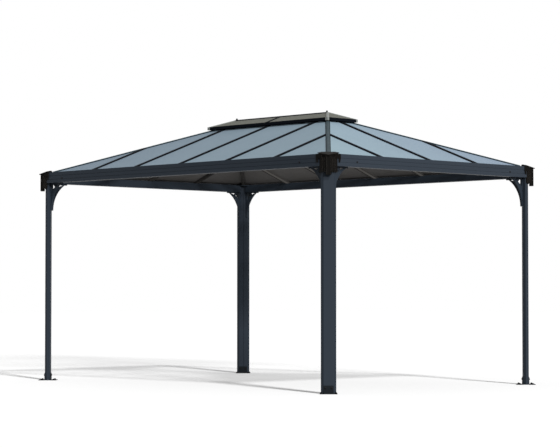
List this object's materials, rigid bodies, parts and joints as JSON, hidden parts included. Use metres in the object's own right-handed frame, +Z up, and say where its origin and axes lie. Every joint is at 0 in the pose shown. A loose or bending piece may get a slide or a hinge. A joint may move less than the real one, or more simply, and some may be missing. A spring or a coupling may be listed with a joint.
{
  "type": "metal gazebo",
  "caption": "open garden gazebo: corner posts with curved braces carry gutter beams and a hipped panel roof with a raised ridge vent",
  "frame": {"origin": "on the ground under the middle of the roof", "axes": "X along the long side, Y along the short side, Z up"},
  "size_m": [4.3756, 3.0256, 2.7411],
  "materials": {
    "frame": "matt dark grey powder coat",
    "cap": "moulded black plastic",
    "roof_sheet": "blue-grey twin-wall roofing sheet",
    "vent_sheet": "smoked grey roofing sheet"
  },
  "bodies": {
    "root": {"braces_back_left": "frame", "braces_back_right": "frame", "braces_front_left": "frame", "braces_front_right": "frame", "corner_cap_back_left": "cap", "corner_cap_back_right": "cap", "corner_cap_front_left": "cap", "corner_cap_front_right": "cap", "corner_plate_back_left": "frame", "corner_plate_back_right": "frame", "corner_plate_front_left": "frame", "corner_plate_front_right": "frame", "foot_brackets_back_left": "frame", "foot_brackets_back_right": "frame", "foot_brackets_front_left": "frame", "foot_brackets_front_right": "frame", "gutter_back": "frame", "gutter_front": "frame", "gutter_left": "frame", "gutter_right": "frame", "hip_rafter_back_left": "frame", "hip_rafter_back_right": "frame", "hip_rafter_front_left": "frame", "hip_rafter_front_right": "frame", "post_back_left": "frame", "post_back_right": "frame", "post_front_left": "frame", "post_front_right": "frame", "rafters_back": "frame", "rafters_front": "frame", "rafters_left": "frame", "rafters_right": "frame", "roof_panels_back": "roof_sheet", "roof_panels_front": "roof_sheet", "roof_panels_left": "roof_sheet", "roof_panels_right": "roof_sheet", "vent_curb": "frame", "vent_eave_frame": "frame", "vent_hips": "frame", "vent_panels": "vent_sheet", "vent_rafters": "frame", "vent_ridge": "frame", "vent_standoffs": "frame"}
  },
  "joints": []
}
